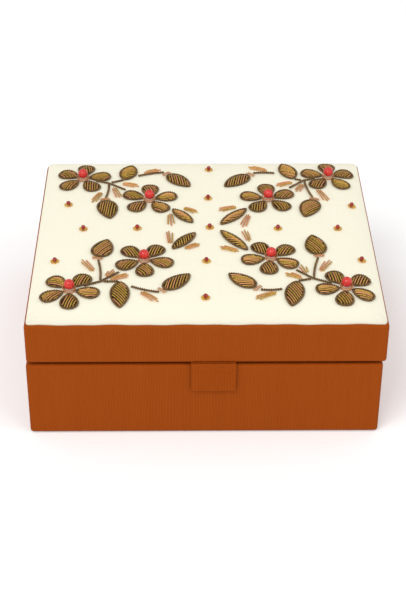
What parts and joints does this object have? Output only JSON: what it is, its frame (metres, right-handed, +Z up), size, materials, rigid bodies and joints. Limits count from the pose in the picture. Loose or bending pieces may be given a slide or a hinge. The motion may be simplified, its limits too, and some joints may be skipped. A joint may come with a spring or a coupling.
{
  "type": "hinged keepsake box",
  "caption": "Rectangular cloth-covered board box with a back-hinged lid, a front pull tab and a padded silk lid panel embroidered with corner sprigs of corded petals, beads and sequins.",
  "frame": {"origin": "on the surface that the box stands on, under the middle of its outline, within 0.75 mm", "axes": "+X to the right as seen from the front, where the pull tab hangs; +Y to the back, where the hinge is; +Z up. +X is the longest side and +Z the shortest."},
  "size_m": [0.2005, 0.1813, 0.088],
  "materials": {
    "greyboard": "matt",
    "ribbed_cloth": "ribbed faille, soft sheen",
    "felt": "matt",
    "lining_cloth": "smooth, soft sheen",
    "card": "matt",
    "wadding": "matt",
    "silk": "fine slubbed weave, soft sheen",
    "olive_purl": "metallised thread, satin",
    "couched_cord": "twisted, matt",
    "copper_purl": "metallised thread, bright",
    "coral_bead": "polished",
    "sequin": "iridescent foil",
    "seed_bead": "polished"
  },
  "bodies": {
    "base": {"base_bottom_board": "greyboard", "base_front_board": "greyboard", "base_back_board": "greyboard", "base_left_board": "greyboard", "base_right_board": "greyboard", "base_cover": "ribbed_cloth", "underside_felt": "felt", "base_lining": "lining_cloth", "floor_pad": "lining_cloth", "hinge_cloth": "ribbed_cloth", "inner_hinge_strip": "lining_cloth"},
    "lid": {"lid_top_board": "greyboard", "lid_front_board": "greyboard", "lid_back_board": "greyboard", "lid_left_board": "greyboard", "lid_right_board": "greyboard", "lid_cover": "ribbed_cloth", "lid_lining": "lining_cloth", "ceiling_pad": "lining_cloth", "tab_root": "ribbed_cloth", "panel_card": "card", "panel_wadding": "wadding", "panel_silk": "silk", "petals": "olive_purl", "leaves": "olive_purl", "buds": "olive_purl", "stems": "couched_cord", "sprays": "copper_purl", "bead_collars": "copper_purl", "calyx_collars": "copper_purl", "coral_beads": "coral_bead", "sequins": "sequin", "seed_beads": "seed_bead"},
    "tab": {"pull_tab": "ribbed_cloth"}
  },
  "joints": [
    {"name": "lid_hinge", "type": "hinge", "parent": "base", "child": "lid", "pos_m": [0, 0.09, 0.049], "axis": [-1, 0, 0], "range_deg": [0, 100], "deforming": ["hinge_cloth", "inner_hinge_strip"]},
    {"name": "tab_hinge", "type": "hinge", "parent": "lid", "child": "tab", "pos_m": [0.0045, -0.09075, 0.0492], "axis": [-1, 0, 0], "range_deg": [0, 170]}
  ]
}
